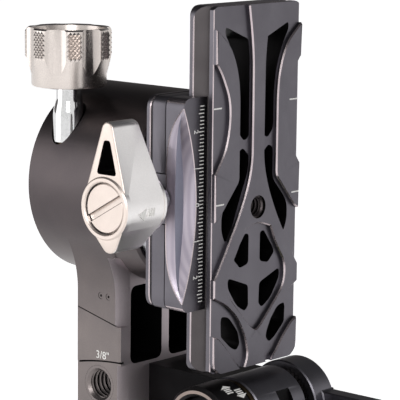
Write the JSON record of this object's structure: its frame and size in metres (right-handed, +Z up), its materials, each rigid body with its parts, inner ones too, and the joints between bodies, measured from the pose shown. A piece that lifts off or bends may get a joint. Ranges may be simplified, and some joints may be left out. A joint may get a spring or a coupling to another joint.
{
  "type": "gimbal head",
  "caption": "Folding side-mount gimbal head: pan base, hinged lower arm, upright with a locking tilt hub, and a lever clamp that holds a dovetail lens plate.",
  "frame": {"origin": "centre of the tripod socket, in the plane of the seat under the pan base; the pan axis runs through it", "axes": "+Z up along the pan axis; +X from the elbow towards the pan housing, and out of the lens plate's face; -Y towards the clamp lever and the lock knobs"},
  "size_m": [0.1529, 0.0846, 0.1542],
  "materials": {
    "grey_anodised": "fine matt grey anodised",
    "dark_anodised": "satin black anodised",
    "satin_nickel": "satin nickel",
    "bead_blasted": "bead blasted, clear anodised",
    "chrome": "polished",
    "steel": "ground",
    "black_steel": "blackened",
    "bronze": "turned",
    "rubber": "matt",
    "vial": "clear, tinted fluid"
  },
  "bodies": {
    "foot": {"pan_base": "dark_anodised", "pan_scale_ring": "grey_anodised", "base_pad": "rubber", "tripod_thread_insert": "steel", "pan_spindle": "steel", "pan_brake_drum": "steel", "pan_spindle_nut": "black_steel"},
    "pan_arm": {"lower_arm": "grey_anodised", "pan_bearing_lower": "steel", "pan_bearing_upper": "steel", "pan_cap": "dark_anodised", "level_housing": "black_steel", "level_vial": "vial", "hinge_pin": "steel", "clutch_disc_lower": "black_steel"},
    "pan_shoe": {"pan_brake_shoe": "bronze"},
    "pan_knob": {"pan_lock_stem": "chrome", "pan_lock_knob": "satin_nickel"},
    "elbow_washer": {"thrust_washer": "bronze"},
    "elbow_ring": {"elbow_lock_ring": "dark_anodised", "lock_ring_cap": "dark_anodised"},
    "upright": {"upright_arm": "grey_anodised", "hub_cap": "dark_anodised", "hub_cap_screw_1": "black_steel", "hub_cap_screw_2": "black_steel", "hub_cap_screw_3": "black_steel", "clutch_disc_upper": "black_steel", "hinge_bushing": "bronze", "tilt_bearing_front": "steel", "tilt_bearing_rear": "steel", "accessory_thread_insert": "steel", "set_screw_1": "black_steel", "set_screw_2": "black_steel"},
    "tilt_shoe": {"tilt_brake_shoe": "bronze"},
    "tilt_knob": {"tilt_lock_stem": "chrome", "tilt_lock_knob": "satin_nickel"},
    "clamp": {"tilt_shaft": "steel", "tilt_brake_drum": "steel", "tilt_shaft_nut": "black_steel", "swing_plate": "grey_anodised", "clamp_base": "grey_anodised", "clamp_bolt_1": "black_steel", "clamp_bolt_2": "black_steel", "clamp_bolt_3": "black_steel", "clamp_bolt_4": "black_steel"},
    "jaw": {"clamp_jaw": "grey_anodised"},
    "lever": {"clamp_screw": "steel", "clamp_lever": "bead_blasted", "lever_cap_screw": "bead_blasted", "lever_sleeve": "steel"},
    "plate": {"lens_plate": "grey_anodised", "upper_stop_screw": "black_steel", "lower_stop_screw": "black_steel"}
  },
  "joints": [
    {"name": "pan_turn", "type": "hinge", "parent": "foot", "child": "pan_arm", "pos_m": [0, 0, 0], "axis": [0, 0, 1], "continuous": true},
    {"name": "fold", "type": "hinge", "parent": "pan_arm", "child": "upright", "pos_m": [-0.0612, 0, 0.0398], "axis": [0, -1, 0], "range_deg": [-90, 0]},
    {"name": "tilt", "type": "hinge", "parent": "upright", "child": "clamp", "pos_m": [-0.0672, 0, 0.101], "axis": [-1, 0, 0], "range_deg": [-90, 130]},
    {"name": "plate_slide", "type": "slide", "parent": "clamp", "child": "plate", "axis": [0, 0, 1], "range_m": [-0.002, 0.009]},
    {"name": "jaw_slide", "type": "slide", "parent": "clamp", "child": "jaw", "axis": [0, -1, 0], "range_m": [0, 0.003]},
    {"name": "lever_turn", "type": "hinge", "parent": "jaw", "child": "lever", "pos_m": [-0.0704, 0, 0.1025], "axis": [0, -1, 0], "range_deg": [0, 720]},
    {"name": "tilt_shoe_press", "type": "slide", "parent": "upright", "child": "tilt_shoe", "axis": [0, 0, -1], "range_m": [0, 0.00075]},
    {"name": "tilt_knob_turn", "type": "hinge", "parent": "tilt_shoe", "child": "tilt_knob", "pos_m": [-0.1111, -0.02, 0.13], "axis": [0, 0, -1], "range_deg": [0, 270]},
    {"name": "pan_shoe_press", "type": "slide", "parent": "pan_arm", "child": "pan_shoe", "axis": [0, 1, 0], "range_m": [0, 0.00075]},
    {"name": "pan_knob_turn", "type": "hinge", "parent": "pan_shoe", "child": "pan_knob", "pos_m": [0, -0.04, 0.0219], "axis": [0, 1, 0], "range_deg": [0, 270]},
    {"name": "elbow_washer_slide", "type": "slide", "parent": "pan_arm", "child": "elbow_washer", "axis": [0, -1, 0], "range_m": [0, 0.000375]},
    {"name": "elbow_ring_turn", "type": "hinge", "parent": "elbow_washer", "child": "elbow_ring", "pos_m": [-0.0612, 0, 0.0398], "axis": [0, -1, 0], "range_deg": [0, 90]}
  ],
  "couplings": [
    {"joint": "lever_turn", "follows": "jaw_slide", "rad_per_m": 4188.7},
    {"joint": "tilt_knob_turn", "follows": "tilt_shoe_press", "rad_per_m": 6283.1},
    {"joint": "pan_knob_turn", "follows": "pan_shoe_press", "rad_per_m": 6283.1},
    {"joint": "elbow_ring_turn", "follows": "elbow_washer_slide", "rad_per_m": 4188.7}
  ]
}
